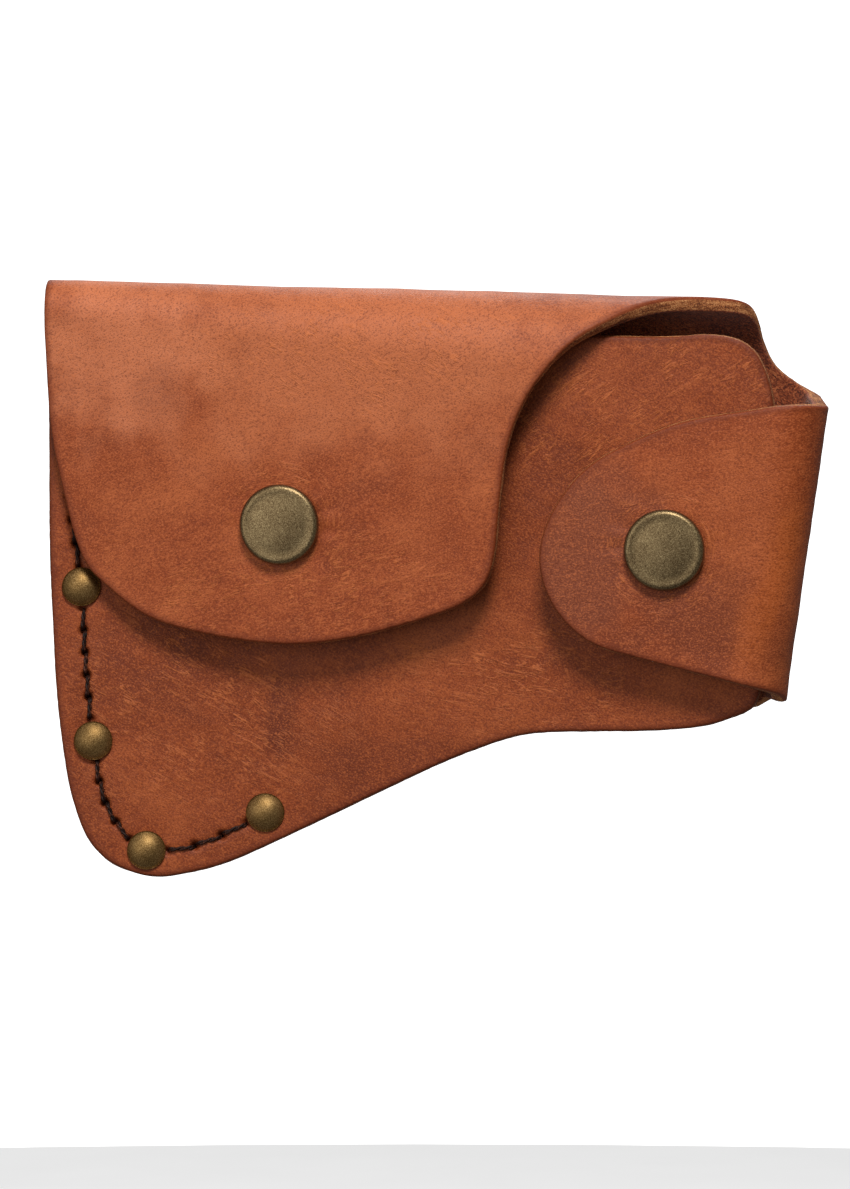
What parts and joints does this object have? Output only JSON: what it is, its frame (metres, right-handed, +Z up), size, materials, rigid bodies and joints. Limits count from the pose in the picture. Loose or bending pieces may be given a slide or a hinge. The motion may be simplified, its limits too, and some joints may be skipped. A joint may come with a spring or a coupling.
{
  "type": "hatchet sheath",
  "caption": "Leather sheath that wraps a hatchet's head, closed by a top flap and a side flap with snap fasteners, with a riveted and stitched seam and a belt loop.",
  "frame": {"origin": "centre of the belt loop's passage, behind the sheath's back panel", "axes": "+X along the hatchet's head towards its poll, +Y towards the wearer, +Z up as worn; the front with the flaps faces -Y"},
  "size_m": [0.1503, 0.0444, 0.1157],
  "materials": {
    "leather": "pull-up full-grain hide, satin",
    "welt_leather": "raw cut edge",
    "thread": "waxed twisted thread",
    "rivet_brass": "antique brass",
    "snap_brass": "antique brass, mottled",
    "spring_wire": "bright drawn wire"
  },
  "bodies": {
    "sheath": {"back_panel": "leather", "front_panel": "leather", "welt": "welt_leather", "needle_thread": "thread", "bobbin_thread": "thread", "seam_rivet_1_cap": "rivet_brass", "seam_rivet_1_post": "rivet_brass", "seam_rivet_2_cap": "rivet_brass", "seam_rivet_2_post": "rivet_brass", "seam_rivet_3_cap": "rivet_brass", "seam_rivet_3_post": "rivet_brass", "seam_rivet_4_cap": "rivet_brass", "seam_rivet_4_post": "rivet_brass", "belt_loop": "leather", "loop_rivet_caps": "rivet_brass", "loop_rivet_posts": "rivet_brass", "top_back_bend": "leather", "side_back_bend": "leather", "top_snap_stud": "snap_brass", "top_snap_eyelet": "snap_brass", "side_snap_stud": "snap_brass", "side_snap_eyelet": "snap_brass"},
    "top_wall_body": {"top_wall": "leather", "top_front_bend": "leather"},
    "top_flap_body": {"top_flap": "leather", "top_snap_cap": "snap_brass", "top_snap_socket": "snap_brass", "top_snap_spring": "spring_wire"},
    "side_wall_body": {"side_wall": "leather", "side_front_bend": "leather"},
    "side_flap_body": {"side_flap": "leather", "side_snap_cap": "snap_brass", "side_snap_socket": "snap_brass", "side_snap_spring": "spring_wire"}
  },
  "joints": [
    {"name": "top_flap_open", "type": "hinge", "parent": "sheath", "child": "top_wall_body", "pos_m": [0, -0.00676, 0.0412], "axis": [-0.9987, 0.0178, 0.0474], "range_deg": [0, 90], "deforming": ["top_back_bend"]},
    {"name": "top_flap_lift", "type": "hinge", "parent": "top_wall_body", "child": "top_flap_body", "pos_m": [0, -0.02384, 0.04068], "axis": [-0.9881, 0.1451, 0.0508], "range_deg": [0, 90], "deforming": ["top_front_bend", "top_snap_spring"]},
    {"name": "side_flap_open", "type": "hinge", "parent": "sheath", "child": "side_wall_body", "pos_m": [0.07462, -0.00539, -0.01022], "axis": [0.1357, 0, 0.9907], "range_deg": [0, 90], "deforming": ["side_back_bend"]},
    {"name": "side_flap_lift", "type": "hinge", "parent": "side_wall_body", "child": "side_flap_body", "pos_m": [0.07327, -0.03368, -0.01262], "axis": [0.1353, -0.0758, 0.9879], "range_deg": [0, 99], "deforming": ["side_front_bend", "side_snap_spring"]}
  ],
  "couplings": [
    {"joint": "top_flap_lift", "follows": "top_flap_open", "ratio": 1},
    {"joint": "side_flap_lift", "follows": "side_flap_open", "ratio": 1.0999}
  ]
}
